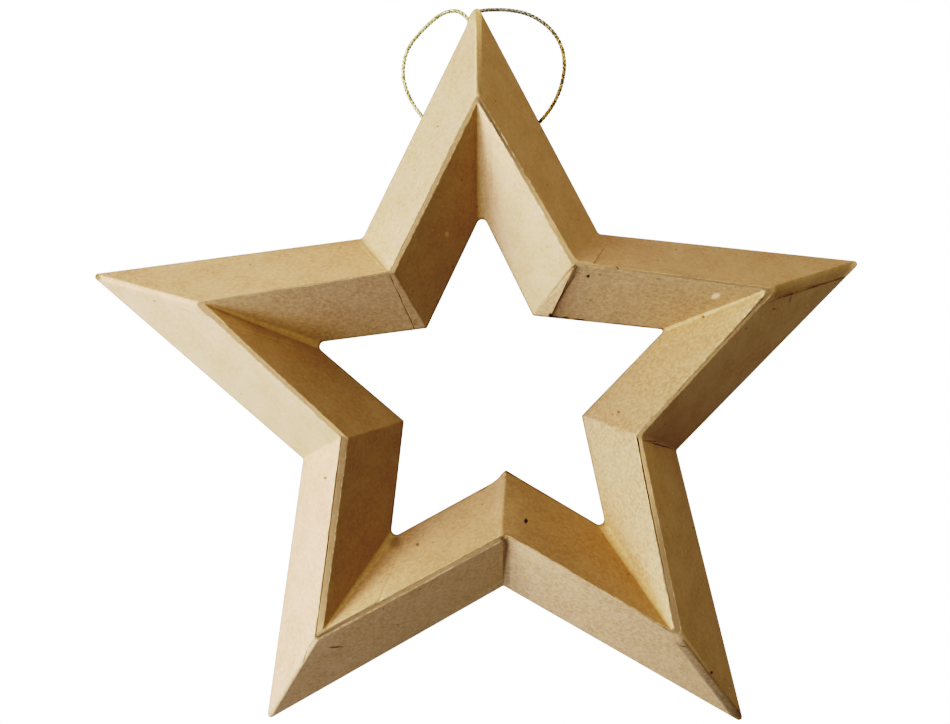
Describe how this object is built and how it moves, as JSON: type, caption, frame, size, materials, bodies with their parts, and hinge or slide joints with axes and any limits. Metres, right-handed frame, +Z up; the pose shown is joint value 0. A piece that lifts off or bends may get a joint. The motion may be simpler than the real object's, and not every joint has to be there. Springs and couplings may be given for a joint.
{
  "type": "cardboard hanging star",
  "caption": "Open star of folded kraft card: a raised hollow frame round a star-shaped hole, with a gold cord loop to hang it by.",
  "frame": {"origin": "mouth of the cord hole in the back face, near the top point, where the star hangs", "axes": "+X to the right seen from the front, +Z up to the top point, the front faces -Y and the flat back faces +Y"},
  "size_m": [0.2005, 0.0249, 0.1909],
  "materials": {
    "kraft_panel": "matt",
    "kraft_outer": "matt",
    "kraft_inner": "matt",
    "gold_cord": "metallic thread"
  },
  "bodies": {
    "root": {"back_panel": "kraft_panel", "outer_wall": "kraft_outer", "inner_wall": "kraft_inner", "cord_knot": "gold_cord", "hanging_cord": "gold_cord"}
  },
  "joints": []
}
